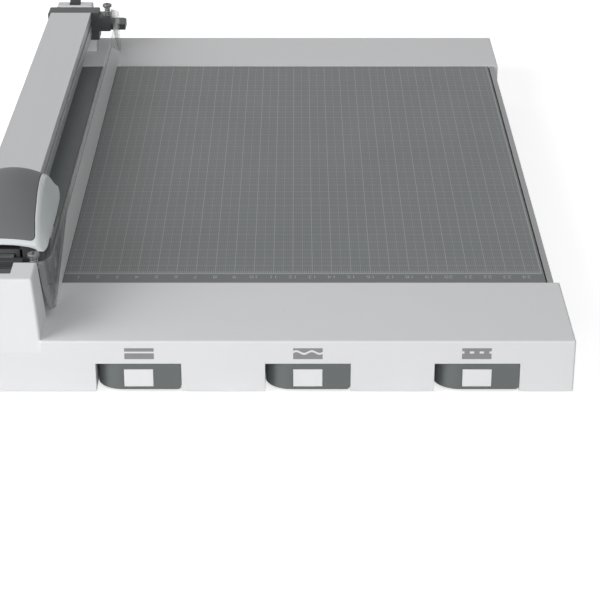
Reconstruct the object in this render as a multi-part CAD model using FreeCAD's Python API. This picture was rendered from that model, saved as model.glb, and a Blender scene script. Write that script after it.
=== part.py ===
import FreeCAD, Part
import math
import os

# A rotary paper trimmer: a base with a printed deck, a hinged rail along the cutting line,
# a cutting head that slides on the rail, and three spare cutters stored in one end cap.
# Millimetres. The origin is the middle of the base on the table, +X points away from the
# rail across the deck, +Y from the storage end to the lift end, and +Z up.

Vector = FreeCAD.Vector

# Base: tray, deck and end caps
foot_stand = 1.5              # how far the feet hold the end caps off the table
cap_height = 27.0
cap_overhang = 3.0            # how far the caps stand out past the tray's sides
cap_wall = 2.5
cap_edge_radius = 1.0
storage_cap_length = 66.0
deck_length = 340.0           # between the two end caps
deck_step = 0.5               # the deck lies this much below the caps' tops
deck_thickness = 2.5
deck_gap = 0.4                # between the deck and the caps
deck_side_gap = 0.8           # dark groove between the deck and the tray's rim
tray_width = 303.0
tray_lift = 1.5               # the tray's floor lies this much above the caps' lower edge
tray_wall = 3.0
tray_floor = 2.5
tray_tuck = 30.0              # length of tray inside the lift end's cap
tray_gap = 0.2
tray_rib = 2.0
tray_ledge = 3.5
cut_from_side = 50.0          # from the tray's rail side to the cutting line

# Cutting strip and its groove
strip_width = 10.0
strip_thickness = 1.2
strip_offset = -2.9           # middle of the strip from the cutting line
strip_gap = 0.1
blade_groove_width = 0.9
blade_groove_depth = 0.8
cap_groove_length = 12.0      # the groove runs on into the storage end's cap
cap_groove_depth = 1.7

# Feet and tray screws
foot_radius = 7.0
foot_taper = 0.8
foot_inset_x = 15.5
foot_inset_y = 12.0
tray_screw_radius = 1.5
tray_screw_head_radius = 3.2
tray_screw_head = 1.8
tray_screw_length = 13.0
tray_screw_pitch = 101.0
tray_screw_inset = 14.0       # from the tray's end
drive_width = 0.9             # slot in each screw's head
drive_length = 4.0
drive_depth = 0.8
boss_radius = 4.5

# Hinge tower, measured from the cutting line, the caps' top and the near end
tower_left = -50.0
tower_right = -0.2
tower_height = 30.0
tower_back = 26.0
tower_slope = 6.0             # how far the near face leans back at its top
tower_skirt = 6.0             # the leaning faces start this far below the cap's top
tower_draft = 3.8             # how far each side leans in at its top
tower_edge_radius = 1.2
fork_left = -37.0
fork_right = -15.0
fork_front = 12.5
fork_floor = 13.0
pivot_y = 20.0
pivot_height = 22.0
pin_radius = 3.0
pin_fit = 0.04
pin_left = -44.5
pin_right = -7.0
plug_length = 3.1
plug_radius = 4.2
plug_rim_radius = 0.4
barrel_radius = 6.3
barrel_side_gap = 0.25

# Rail, its two end pieces and its screws
rail_left = -44.0
rail_right = -17.0
rail_bottom = 11.0
rail_top = 27.0
rail_near = 37.5
rail_past_deck = 30.5         # how far it reaches into the lift end cap's length
rail_wall = 1.8
rail_groove_depth = 2.5
rail_groove_height = 3.0
rail_groove_bottom = 18.0
spigot_length = 20.0
spigot_gap = 0.2
end_left = -46.0
end_right = -12.0
arm_right = -4.3
arm_bottom = 14.0
arm_top = 23.8
knuckle_near = 29.0
knuckle_notch = 3.0
end_piece_length = 13.5
end_piece_bottom = 8.0
end_screw_radius = 1.4
end_screw_head_radius = 2.8
end_screw_head = 1.5
end_screw_inset = 9.0
end_screw_length = 7.8

# Lift tab, rail rest and sliding lock at the lift end
tab_left = -14.0
tab_right = 5.0
tab_bottom = 12.0
tab_thickness = 4.0
tab_reach = 11.0
tab_corner_radius = 3.5
arm_root = 4.0
rest_gap = 0.1
rest_inset = 2.0
lip_left = -38.0
lip_right = -22.0
lip_top = 16.0
lip_reach = 3.7
lock_house_left = -42.0
lock_house_right = -18.0
lock_house_gap = 5.0          # between the rail's end piece and the house
lock_house_length = 10.0
knob_slot_inset = 2.2
lock_house_height = 26.0
bolt_width = 14.0
bolt_height = 5.0
bolt_gap = 0.3
bolt_travel = 4.0
knob_width = 7.0
knob_length = 3.2
knob_rise = 3.0
knob_edge_radius = 0.8

# Guard strip beside the blade
guard_outer = 2.4
guard_wall = 1.2
guard_height = 27.4
guard_floor_gap = 0.1
guard_nose_start = 48.0
guard_nose_bend = 40.5        # the wall starts to curve in here
guard_top_x = -3.9            # where the nose ends, at its top
guard_top_y = 31.0
guard_tip_x = 0.3             # and at its foot
guard_tip_y = 34.0
flange_thickness = 1.6
flange_gap = 0.3
flange_left = -10.0
flange_reach = 3.4            # half the flange's length along the rail
flange_corner_radius = 2.8
guard_screw_x = -6.3
guard_screw_y = 32.6
guard_screw_radius = 1.5
guard_screw_head_radius = 3.0
guard_screw_head = 1.8
guard_screw_grip = 8.0
guard_screw_gap = 0.25
guard_screw_edge_radius = 0.7
guard_spring_height = 4.2
guard_spring_wire = 0.45
guard_spring_radius = 1.9
guard_spring_turns = 3
spring_seat_gap = 0.02

# Cutting head: frame, glides, cover and grip
head_near = 38.0
head_length = 84.0
head_crown = 51.9             # the cover's highest point
head_left = -47.0
head_right = -0.8
head_rim = 30.0
head_rim_cut = 0.5            # the room inside starts this much below the rim
head_turn = 1.6               # size of the rounding where side meets top
head_cutter_inset = 26.0
head_wall = 2.2
head_gap = 0.5                # between the frame's walls and the rail
frame_inset = 4.0
frame_wall = 2.1
frame_plate = 2.2
frame_plate_gap = 0.3
frame_drop = 15.0
glide_length = 12.0
glide_inset = 4.0
glide_gap = 0.1
top_glide_width = 14.0
pad_thickness = 3.0
pad_gap = 0.3
pad_inset = 2.0               # from the head's near end
pad_length = 75.0
pad_half_near = 17.9
pad_half_middle = 16.1
pad_half_far = 14.3
pad_corner_radius = 2.5
arch_rise = 3.6
arch_half_width = 19.0

# Press holder and its springs
press_travel = 3.0
head_blade_height = 2.0       # the blade's lowest point above the caps' top
holder_left = -14.0
holder_right = -4.8
holder_plate = 2.0
holder_arm = 1.2
holder_arm_gap = 0.3
holder_arm_half = 4.0
holder_face_gap = 0.3
tongue_reach = 8.0
bridge_bottom = 38.0
bridge_plate = 2.0
bridge_left = -37.0
bridge_near = 58.0
bridge_far_inset = 18.0       # from the head's far end
bridge_web = 5.0
bridge_inset = 4.0
bridge_post_radius = 2.5
press_spring_x = -30.0
press_spring_near_y = 66.0
press_spring_far_inset = 25.0
press_spring_radius = 3.4
press_spring_wire = 0.8
press_spring_turns = 5
cover_screw_left = -37.0
cover_screw_right = -20.0
cover_screw_first = 15.0      # the first left one, from the head's near end
cover_screw_last = 16.0       # the last left one, from the head's far end
cover_screw_side = 26.0       # and the right one, from there too
cover_screw_radius = 0.9
cover_screw_head_radius = 1.9
cover_screw_head = 1.2
cover_ledge = 2.0
cover_ledge_reach = 2.6
cover_ledge_half = 5.0
cover_hole_depth = 6.0

# Cutter cartridges, in the place where they are stored
bay_width = 41.3
bay_first = 45.65             # middle of the first bay from the cutting line
bay_last = 46.95              # middle of the last bay from the cap's right side
bay_ceiling = 12.1            # below the cap's top
bay_depth = 31.0
bay_wall = 2.0
bay_tray_gap = 3.0            # between a bay's back wall and the tray's end
cartridge_width = 41.0
cartridge_thickness = 13.7
cartridge_bottom_gap = 1.0    # above the cap's lower edge
cartridge_depth = 24.5
finger_width = 12.5
finger_depth = 12.0
cartridge_edge_radius = 2.0
shoulder_length = 10.5        # the corners beside the blade slope away, along the cut
shoulder_depth = 6.0
tab_plate_width = 14.2
tab_plate_height = 9.4
tab_plate_depth = 2.4
tab_plate_low = 1.4           # its lower edge above the cartridge's bottom
tab_plate_gap = 0.1
tab_plate_edge_radius = 0.3
guide_depth = 1.0
guide_height = 2.2
guide_start = 13.0
guide_rib_depth = 0.8
guide_rib_height = 1.8
blade_radius = 9.0
blade_thickness = 0.3
blade_level = 0.8             # the blade's middle plane above the cartridge's bottom
blade_pocket = 1.6
blade_pocket_gap = 0.7
blade_reach = 2.5             # how far the blade stands out of the cartridge
blade_hole_gap = 0.06
axle_radius = 2.0
axle_head_radius = 3.2
axle_head = 0.4
axle_length = 6.0
axle_gap = 0.05
wave_height = 0.35
wave_count = 12
tooth_count = 16
tooth_depth = 1.0
tooth_gap = 1.4

# Places that follow from the sizes above
rail_far = storage_cap_length + deck_length + rail_past_deck
end_piece_far = rail_far + end_piece_length
lock_house_near = end_piece_far + lock_house_gap
lock_house_far = lock_house_near + lock_house_length
lift_cap_length = lock_house_far + cap_edge_radius - storage_cap_length - deck_length
total_length = storage_cap_length + deck_length + lift_cap_length
total_width = tray_width + 2 * cap_overhang
near_y = -total_length / 2
far_y = total_length / 2
cap_left = -total_width / 2
cap_right = total_width / 2
tray_left = -tray_width / 2
tray_right = tray_width / 2
cut_x = tray_left + cut_from_side
bay_pitch = (cap_right - bay_last - cut_x - bay_first) / 2
cap_bottom = foot_stand
cap_top = foot_stand + cap_height
cap_skin = cap_top - cap_wall
deck_top = cap_top - deck_step
deck_bottom = deck_top - deck_thickness
deck_near = near_y + storage_cap_length
deck_far = deck_near + deck_length
tray_near = near_y + bay_depth + bay_wall + bay_tray_gap
tray_far = deck_far + tray_tuck
tray_bottom = cap_bottom + tray_lift
tray_inside = tray_bottom + tray_floor
strip_left = cut_x + strip_offset - strip_width / 2
strip_right = strip_left + strip_width
tray_screw_near = tray_near + tray_screw_inset
tray_screw_far = tray_far - tray_screw_inset
pivot = Vector(0, near_y + pivot_y, cap_top + pivot_height)
guard_middle = (rail_near + rail_far) / 2
frame_top = rail_top + frame_plate_gap + frame_plate
head_middle = (head_left + head_right) / 2
blade_centre_depth = cartridge_depth + blade_reach - blade_radius
cartridge_bottom = cap_bottom + cartridge_bottom_gap
bay_top = cap_top - bay_ceiling
head_face = head_blade_height + cartridge_depth + blade_reach
head_cutter_y = head_near + head_cutter_inset
head_far = head_near + head_length
bridge_far = head_far - bridge_far_inset
press_spring_far_y = head_far - press_spring_far_inset
flange_bottom = arm_top + flange_gap
flange_top = flange_bottom + flange_thickness

os.makedirs("parts", exist_ok=True)


# Shapes used throughout. X is measured from the cutting line, Y from the near end and
# Z from the caps' top wherever a function's name ends in _at.

def block(x0, x1, y0, y1, z0, z1):
    return Part.makeBox(x1 - x0, y1 - y0, z1 - z0, Vector(x0, y0, z0))


def block_at(x0, x1, y0, y1, z0, z1):
    return block(cut_x + x0, cut_x + x1, near_y + y0, near_y + y1, cap_top + z0, cap_top + z1)


def upright(x, y, z0, z1, radius):
    return Part.makeCylinder(radius, z1 - z0, Vector(x, y, z0), Vector(0, 0, 1))


def upright_at(x, y, z0, z1, radius):
    return upright(cut_x + x, near_y + y, cap_top + z0, cap_top + z1, radius)


def cross_rod(x0, x1, y, z, radius):
    return Part.makeCylinder(radius, x1 - x0, Vector(x0, y, z), Vector(1, 0, 0))


def extruded(points, direction):
    outline = Part.makePolygon(points + [points[0]])
    return Part.Face(outline).extrude(direction)


def joined(first, *others):
    return first.fuse(list(others)).removeSplitter()


def vertical_edges(shape, wanted):
    found = []
    for edge in shape.Edges:
        size = edge.BoundBox
        if size.XLength < 1e-4 and size.YLength < 1e-4 and wanted(edge.CenterOfMass):
            found.append(edge)
    return found


def level_edges(shape, height, wanted):
    found = []
    for edge in shape.Edges:
        size = edge.BoundBox
        if abs(size.ZMin - height) < 1e-4 and size.ZLength < 1e-4 and wanted(edge.CenterOfMass):
            found.append(edge)
    return found


def mirrored_along(shape, middle_y):
    return shape.mirror(Vector(0, middle_y, 0), Vector(0, 1, 0))


def save(shape, node):
    shape.exportStep("parts/" + node + ".step")
    print(node, len(shape.Solids), "valid" if shape.isValid() else "NOT VALID", round(shape.Volume, 1))


# Coil springs: each quarter turn is a pair of tangent arcs, so the wire stays smooth

def tangent_arc(start, direction, end):
    chord = end - start
    across = chord - direction * chord.dot(direction)
    radius = chord.dot(chord) / (2 * across.Length)
    centre = start + across.normalize() * radius
    towards = ((start + end) * 0.5 - centre).normalize()
    return Part.Arc(start, centre + towards * radius, end).toShape()


def quarter_turn(start, start_way, end, end_way):
    chord = end - start
    ways = start_way + end_way
    spread = 2 * (1 - start_way.dot(end_way))
    reach = (math.sqrt(chord.dot(ways) ** 2 + spread * chord.dot(chord)) - chord.dot(ways)) / spread
    middle = (start + start_way * reach + end - end_way * reach) * 0.5
    return [tangent_arc(start, start_way, middle), tangent_arc(end, end_way * -1, middle)]


def coil_spring(x, y, bottom, top, radius, wire, turns):
    low = bottom + spring_seat_gap + wire / 2
    rise = (top - bottom - wire - 2 * spring_seat_gap) / turns
    climb = rise / (2 * math.pi)

    def point(angle):
        return Vector(x + radius * math.cos(angle), y + radius * math.sin(angle), low + climb * angle)

    def way(angle):
        return Vector(-radius * math.sin(angle), radius * math.cos(angle), climb).normalize()

    edges = []
    for step in range(4 * turns):
        first = step * math.pi / 2
        last = first + math.pi / 2
        edges += quarter_turn(point(first), way(first), point(last), way(last))
    section = Part.Wire(Part.makeCircle(wire / 2, point(0), way(0)))
    print("spring gap between turns", round(rise - wire, 2))
    return Part.Wire(edges).makePipeShell([section], True, False)


# Base tray: a moulded floor with side rims, ledges for the deck and a lattice of ribs

def tray_screw_places():
    places = []
    for y in (tray_screw_near, tray_screw_far):
        for count in (-1, 0, 1):
            places.append((count * tray_screw_pitch, y))
    return places


def make_base_tray():
    tuck_top = cap_skin - tray_gap
    outside = block(tray_left, tray_right, tray_near, tray_far, tray_bottom, tuck_top)
    inside = block(tray_left + tray_wall, tray_right - tray_wall, tray_near + tray_wall,
                   tray_far - tray_wall, tray_inside, cap_top)
    tray = outside.cut(inside)
    extras = []
    for wall_x in (tray_left, tray_right - tray_wall):
        extras.append(block(wall_x, wall_x + tray_wall, deck_near + deck_gap, deck_far - deck_gap,
                            tuck_top, deck_top))
    for ledge_x in (tray_left + tray_wall, tray_right - tray_wall - tray_ledge):
        extras.append(block(ledge_x, ledge_x + tray_ledge, deck_near, deck_far,
                            deck_bottom - tray_ledge, deck_bottom))
    cross_ribs = 7
    for count in range(cross_ribs):
        rib_y = deck_near + tray_rib + count * (deck_length - 3 * tray_rib) / (cross_ribs - 1)
        extras.append(block(tray_left + tray_wall, tray_right - tray_wall, rib_y, rib_y + tray_rib,
                            tray_inside, deck_bottom))
    long_ribs = 5
    for count in range(1, long_ribs + 1):
        rib_x = tray_left + count * tray_width / (long_ribs + 1)
        extras.append(block(rib_x, rib_x + tray_rib, deck_near + tray_rib, deck_far - tray_rib,
                            tray_inside, deck_bottom))
    tray = joined(tray, *extras)
    for x, y in tray_screw_places():
        tray = tray.cut(upright(x, y, tray_bottom, tray_inside, tray_screw_radius))
        tray = tray.cut(upright(x, y, tray_bottom, tray_bottom + tray_screw_head,
                                tray_screw_head_radius + strip_gap))
    return tray


def make_feet():
    feet = []
    for x in (tray_left + foot_inset_x, tray_right - foot_inset_x):
        for y in (tray_near + foot_inset_y, 0, tray_far - foot_inset_y):
            foot = Part.makeCone(foot_radius - foot_taper, foot_radius, tray_bottom, Vector(x, y, 0))
            feet.append(foot)
    return Part.makeCompound(feet)


def make_tray_screws():
    screws = []
    for x, y in tray_screw_places():
        head = upright(x, y, tray_bottom, tray_bottom + tray_screw_head, tray_screw_head_radius)
        drive = block(x - drive_width / 2, x + drive_width / 2, y - drive_length / 2, y + drive_length / 2,
                      tray_bottom, tray_bottom + drive_depth)
        shank = upright(x, y, tray_bottom + tray_screw_head, tray_bottom + tray_screw_length,
                        tray_screw_radius)
        screws.append(head.fuse(shank).cut(drive))
    return Part.makeCompound(screws)


# Deck plate with the groove for the cutting strip, and the strip with its blade groove

def make_deck_plate():
    side_gap = tray_wall + deck_side_gap
    plate = block(tray_left + side_gap, tray_right - side_gap, deck_near + deck_gap,
                  deck_far - deck_gap, deck_bottom, deck_top)
    groove = block(strip_left - strip_gap, strip_right + strip_gap, deck_near, deck_far,
                   deck_top - strip_thickness, cap_top)
    return plate.cut(groove)


def blade_groove(y0, y1, bottom):
    half = blade_groove_width / 2
    return block(cut_x - half, cut_x + half, y0, y1, bottom, cap_top + 1)


def make_cutting_strip():
    strip = block(strip_left, strip_right, deck_near + deck_gap, deck_far - deck_gap,
                  deck_top - strip_thickness, deck_top)
    return strip.cut(blade_groove(deck_near, deck_far, deck_top - blade_groove_depth))


# End caps: hollow mouldings that slip over the tray's ends

def cap_shell(y0, y1, tuck_from, tuck_to, room_from, room_to, outer_y):
    cap = block(cap_left, cap_right, y0, y1, cap_bottom, cap_top)

    def on_rim(place):
        at_side = abs(abs(place.x) - cap_right) < 1e-3
        return at_side or abs(place.y - outer_y) < 1e-3

    edges = vertical_edges(cap, lambda place: abs(place.y - outer_y) < 1e-3)
    edges += level_edges(cap, cap_top, on_rim)
    cap = cap.makeFillet(cap_edge_radius, edges)
    tuck = block(tray_left - tray_gap, tray_right + tray_gap, tuck_from, tuck_to, 0, cap_skin)
    room = block(cap_left + cap_wall, cap_right - cap_wall, room_from, room_to, 0, cap_skin)
    return cap.cut([tuck, room])


def cap_bosses(y):
    bosses = []
    for x, screw_y in tray_screw_places():
        if abs(screw_y - y) < 1e-3:
            boss = upright(x, y, tray_inside, cap_skin, boss_radius)
            hole = upright(x, y, tray_inside, tray_bottom + tray_screw_length, tray_screw_radius)
            bosses.append(boss.cut(hole))
    return bosses


def bay_middles():
    return [cut_x + bay_first + count * bay_pitch for count in range(3)]


def cartridge_bay(middle):
    half = bay_width / 2
    back = near_y + bay_depth
    housing = block(middle - half - bay_wall, middle + half + bay_wall, near_y + cap_wall,
                    back + bay_wall, cap_bottom, bay_top + bay_wall)
    opening = block(middle - half, middle + half, near_y - 1, back, 0, bay_top)
    ribs = []
    rib_middle = cartridge_bottom + cartridge_thickness / 2
    for side in (-1, 1):
        wall = middle + side * half
        inner = wall - side * guide_rib_depth
        ribs.append(block(min(wall, inner), max(wall, inner), near_y + guide_start + 1, back,
                          rib_middle - guide_rib_height / 2, rib_middle + guide_rib_height / 2))
    return housing, opening, ribs


def frustum(x0, x1, y0, y1, z0, top_x0, top_x1, top_y0, top_y1, z1):
    def ring(left, right, front, back, height):
        corners = [Vector(left, front, height), Vector(right, front, height),
                   Vector(right, back, height), Vector(left, back, height)]
        return Part.makePolygon(corners + [corners[0]])

    return Part.makeLoft([ring(x0, x1, y0, y1, z0), ring(top_x0, top_x1, top_y0, top_y1, z1)], True, True)


def make_tower():
    left = cut_x + tower_left
    right = cut_x + tower_right
    back = near_y + tower_back
    low = cap_top - tower_skirt
    high = cap_top + tower_height
    tower = frustum(left, right, near_y, back, low, left + tower_draft, right - tower_draft,
                    near_y + tower_slope, back, high)
    edges = level_edges(tower, high, lambda place: True)
    edges += [edge for edge in tower.Edges
              if edge.BoundBox.ZLength > tower_height and edge.CenterOfMass.y < near_y + tower_back / 2]
    tower = tower.makeFillet(tower_edge_radius, edges)
    fork = block_at(fork_left, fork_right, fork_front, tower_back + 1, fork_floor, tower_height + 1)
    pin_hole = cross_rod(cut_x + pin_left, cut_x + pin_right, pivot.y, pivot.z, pin_radius)
    plug_hole = cross_rod(left, cut_x + pin_left, pivot.y, pivot.z, plug_radius)
    return tower.cut([fork, pin_hole, plug_hole])


def tower_cores():
    # rooms up into the tower from below, so that its walls stay as thin as the cap's
    cores = []
    front = tower_slope
    back = tower_back - cap_wall
    cheek_top = pivot_height - plug_radius - cap_wall
    lean = tower_draft / 2
    for x0, x1, top in ((tower_left + cap_wall + lean, fork_left - cap_wall, cheek_top),
                        (fork_left + cap_wall / 2, fork_right - cap_wall / 2, fork_floor - cap_wall),
                        (fork_right + cap_wall, tower_right - cap_wall - lean, cheek_top)):
        cores.append(block_at(x0, x1, front, back, -cap_wall - 1, top))
    return cores


def make_storage_cap():
    back_wall = near_y + bay_depth + bay_wall
    cap = cap_shell(near_y, deck_near, tray_near - tray_gap, deck_near + 1,
                    near_y + cap_wall, back_wall, near_y)
    # the cap's front corner gives way to the tower's leaning face
    skirt_share = tower_skirt / (tower_skirt + tower_height)
    lean = tower_slope * skirt_share
    left = cut_x + tower_left + tower_draft * skirt_share
    right = cut_x + tower_right - tower_draft * skirt_share
    corner = [Vector(left, near_y - 1, cap_top - tower_skirt),
              Vector(left, near_y, cap_top - tower_skirt),
              Vector(left, near_y + lean, cap_top),
              Vector(left, near_y + lean, cap_top + 1),
              Vector(left, near_y - 1, cap_top + 1)]
    cap = cap.cut(extruded(corner, Vector(right - left, 0, 0)))
    bays = [cartridge_bay(middle) for middle in bay_middles()]
    cap = joined(cap, make_tower(), *[bay[0] for bay in bays], *cap_bosses(tray_screw_near))
    cap = cap.cut([bay[1] for bay in bays] + tower_cores())
    cap = joined(cap, *[rib for bay in bays for rib in bay[2]])
    return cap.cut(blade_groove(deck_near - cap_groove_length, deck_near + 1, cap_top - cap_groove_depth))


def make_lift_cap():
    cap = cap_shell(deck_far, far_y, deck_far - 1, tray_far + tray_gap,
                    tray_far + tray_gap + cap_wall, far_y - cap_wall, far_y)
    house = block_at(lock_house_left, lock_house_right, lock_house_near, lock_house_far,
                     0, lock_house_height)
    upper = level_edges(house, cap_top + lock_house_height, lambda place: True)
    house = house.makeFillet(tower_edge_radius, upper)
    rest = block_at(end_left + rest_inset, end_right - rest_inset, rail_far, end_piece_far - rest_inset,
                    0, end_piece_bottom - rest_gap)
    cap = joined(cap, house, rest, *cap_bosses(tray_screw_far))
    middle = (lock_house_left + lock_house_right) / 2
    half = bolt_width / 2 + bolt_gap
    channel_low = lip_top + bolt_gap
    channel = block_at(middle - half, middle + half, lock_house_near - 1, lock_house_far + 1,
                       channel_low, channel_low + bolt_height + 2 * bolt_gap)
    knob_half = knob_width / 2 + bolt_gap
    slot = block_at(middle - knob_half, middle + knob_half, lock_house_near + knob_slot_inset,
                    lock_house_far + 1, channel_low, lock_house_height + 1)
    return cap.cut([channel, slot])


def make_hinge_pin():
    return cross_rod(cut_x + pin_left, cut_x + pin_right, pivot.y, pivot.z, pin_radius)


def make_hinge_plug():
    left = cut_x + pin_left - plug_length
    plug = cross_rod(left, cut_x + pin_left, pivot.y, pivot.z, plug_radius)
    rim = [edge for edge in plug.Edges if edge.BoundBox.XMax < left + 1e-3]
    return plug.makeFillet(plug_rim_radius, rim)


# Rail: an aluminium extrusion with a groove along each side for the glides

def make_rail():
    rail = block_at(rail_left, rail_right, rail_near, rail_far, rail_bottom, rail_top)
    core = block_at(rail_left + rail_wall, rail_right - rail_wall, rail_near - 1, rail_far + 1,
                    rail_bottom + rail_wall, rail_top - rail_wall)
    rail = rail.cut(core)
    linings = []
    grooves = []
    lining_depth = rail_groove_depth + rail_wall
    for side, wall in ((1, rail_left), (-1, rail_right)):
        deep = wall + side * lining_depth
        linings.append(block_at(min(wall, deep), max(wall, deep), rail_near, rail_far,
                                rail_groove_bottom - rail_wall,
                                rail_groove_bottom + rail_groove_height + rail_wall))
        shallow = wall + side * rail_groove_depth
        grooves.append(block_at(min(wall, shallow), max(wall, shallow), rail_near - 1, rail_far + 1,
                                rail_groove_bottom, rail_groove_bottom + rail_groove_height))
    rail = joined(rail, *linings).cut(grooves)
    for screw_x, screw_y in end_screw_places():
        rail = rail.cut(upright_at(screw_x, screw_y, rail_bottom, rail_bottom + rail_wall,
                                   end_screw_radius))
    return rail


def end_screw_places():
    middle = (rail_left + rail_right) / 2
    return [(middle, rail_near + end_screw_inset), (middle, rail_far - end_screw_inset)]


def rail_spigot(y0, y1):
    lining = rail_groove_depth + rail_wall + spigot_gap
    return block_at(rail_left + lining, rail_right - lining, y0, y1,
                    rail_bottom + rail_wall + rest_gap / 2, rail_top - rail_wall - spigot_gap)


def guard_arm(y0, y1):
    return block_at(end_right - 1, arm_right, y0, y1, arm_bottom, arm_top)


def guard_screw_far_y():
    return 2 * guard_middle - guard_screw_y


def end_piece_holes(screw_y, tap_y):
    guard_hole = upright_at(guard_screw_x, screw_y, arm_top - guard_screw_grip, arm_top + 1,
                            guard_screw_radius)
    tap_hole = upright_at((rail_left + rail_right) / 2, tap_y, rail_bottom + rail_wall,
                          rail_bottom + end_screw_length, end_screw_radius)
    return [guard_hole, tap_hole]


def make_rail_knuckle():
    body = block_at(end_left, end_right, knuckle_near, rail_near, rail_bottom, rail_top)
    notch = block_at(end_left - 1, end_right + 1, knuckle_near - 1, knuckle_near + knuckle_notch + 1,
                     arm_top, rail_top + 1)
    body = body.cut(notch)
    left = cut_x + fork_left + barrel_side_gap
    right = cut_x + fork_right - barrel_side_gap
    barrel = cross_rod(left, right, pivot.y, pivot.z, barrel_radius)
    web_low = pivot_height - barrel_radius + rail_wall / 2
    web = block_at(fork_left + barrel_side_gap, fork_right - barrel_side_gap, pivot_y,
                   knuckle_near + 1, web_low, arm_top)
    spigot = rail_spigot(rail_near - 1, rail_near + spigot_length)
    knuckle = joined(body, barrel, web, spigot, guard_arm(knuckle_near, rail_near))
    bore = cross_rod(left - 1, right + 1, pivot.y, pivot.z, pin_radius + pin_fit)
    return knuckle.cut([bore] + end_piece_holes(guard_screw_y, rail_near + end_screw_inset))


def make_rail_lift_end():
    end_y = end_piece_far
    body = block_at(end_left, end_right, rail_far, end_y, end_piece_bottom, rail_top)
    body = body.makeFillet(tower_edge_radius, level_edges(body, cap_top + rail_top,
                                                          lambda place: place.y > near_y + rail_far + 1))
    spigot = rail_spigot(rail_far - spigot_length, rail_far + 1)
    arm = guard_arm(rail_far, end_y)
    arm_base = block_at(end_right - 1, arm_right, end_y - arm_root, end_y, tab_bottom, arm_top)
    tab = block_at(tab_left, tab_right, end_y - arm_root, end_y + tab_reach, tab_bottom,
                   tab_bottom + tab_thickness)
    corners = vertical_edges(tab, lambda place: place.y > near_y + end_y)
    tab = tab.makeFillet(tab_corner_radius, corners)
    lip = block_at(lip_left, lip_right, end_y - 1, end_y + lip_reach, rail_bottom, lip_top)
    piece = joined(body, spigot, arm, arm_base, tab, lip)
    return piece.cut(end_piece_holes(guard_screw_far_y(), rail_far - end_screw_inset))


def make_rail_end_screws():
    screws = []
    for x, y in end_screw_places():
        head = upright_at(x, y, rail_bottom - end_screw_head, rail_bottom, end_screw_head_radius)
        shank = upright_at(x, y, rail_bottom, rail_bottom + end_screw_length, end_screw_radius)
        drive = block_at(x - drive_width / 2, x + drive_width / 2, y - drive_length / 2, y + drive_length / 2,
                         rail_bottom - end_screw_head, rail_bottom - end_screw_head + drive_depth)
        screws.append(head.fuse(shank).cut(drive))
    return Part.makeCompound(screws)


def make_rail_lock():
    middle = (lock_house_left + lock_house_right) / 2
    low = lip_top + bolt_gap + rest_gap
    bolt = block_at(middle - bolt_width / 2, middle + bolt_width / 2, lock_house_near + bolt_gap,
                    lock_house_far - bolt_gap, low, low + bolt_height)
    knob_near = lock_house_near + knob_slot_inset + bolt_gap + bolt_travel
    knob_top = lock_house_height + knob_rise
    knob = block_at(middle - knob_width / 2, middle + knob_width / 2, knob_near,
                    knob_near + knob_length, low + bolt_height / 2, knob_top)
    knob = knob.makeFillet(knob_edge_radius, level_edges(knob, cap_top + knob_top, lambda place: True))
    return joined(bolt, knob)


# Guard strip: a thin upright wall beside the blade that climbs and curves in at both ends
# to a flange, which floats on a shoulder screw

def nose_outline(height, tip_x, tip_y):
    def place(x, y):
        return Vector(cut_x + x, near_y + y, cap_top + height)

    outer = guard_outer
    inner = guard_outer - guard_wall
    lean_x = outer - 0.35 * (outer - tip_x)
    lean_y = tip_y + 0.3 * (guard_nose_bend - tip_y)
    tip = place(tip_x, tip_y)
    tip_inner = place(tip_x, tip_y + guard_wall)
    inner_lean = place(lean_x - 0.8 * guard_wall, lean_y + 0.6 * guard_wall)
    edges = [
        Part.makeLine(place(outer, guard_nose_start), place(outer, guard_nose_bend)),
        Part.Arc(place(outer, guard_nose_bend), place(lean_x, lean_y), tip).toShape(),
        Part.makeLine(tip, tip_inner),
        Part.Arc(tip_inner, inner_lean, place(inner, guard_nose_bend)).toShape(),
        Part.makeLine(place(inner, guard_nose_bend), place(inner, guard_nose_start)),
        Part.makeLine(place(inner, guard_nose_start), place(outer, guard_nose_start)),
    ]
    return Part.Wire(edges)


def guard_nose():
    # the nose's end bows outward on its way down, as a parabola from its top to its foot
    outlines = []
    steps = 5
    for count in range(steps + 1):
        drop = count / steps
        across = drop ** 2
        height = guard_height - (guard_height - guard_floor_gap) * drop
        tip_x = guard_top_x + (guard_tip_x - guard_top_x) * across
        tip_y = guard_top_y + (guard_tip_y - guard_top_y) * across
        outlines.append(nose_outline(height, tip_x, tip_y))
    nose = Part.makeLoft(outlines, True, False)
    flange = block_at(flange_left, guard_top_x + guard_wall, guard_screw_y - flange_reach,
                      guard_screw_y + flange_reach, flange_bottom, flange_top)
    corners = vertical_edges(flange, lambda place: place.x < cut_x + flange_left + 1)
    flange = flange.makeFillet(flange_corner_radius, corners)
    # the flange stops inside the nose's wall
    outside = block_at(flange_left - 1, guard_outer, guard_top_y - 2 * flange_reach,
                       guard_top_y + guard_wall / 6, 0, guard_height)
    return joined(nose, flange.cut(outside))


def make_guard_strip():
    mirror_y = near_y + guard_middle
    far_start = 2 * guard_middle - guard_nose_start
    wall = block_at(guard_outer - guard_wall, guard_outer, guard_nose_start, far_start,
                    guard_floor_gap, guard_height)
    near_nose = guard_nose()
    guard = joined(wall, near_nose, mirrored_along(near_nose, mirror_y))
    for screw_y in (guard_screw_y, guard_screw_far_y()):
        guard = guard.cut(upright_at(guard_screw_x, screw_y, flange_bottom - 1, flange_top + 1,
                                     guard_screw_radius + guard_screw_gap))
    return guard


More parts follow.
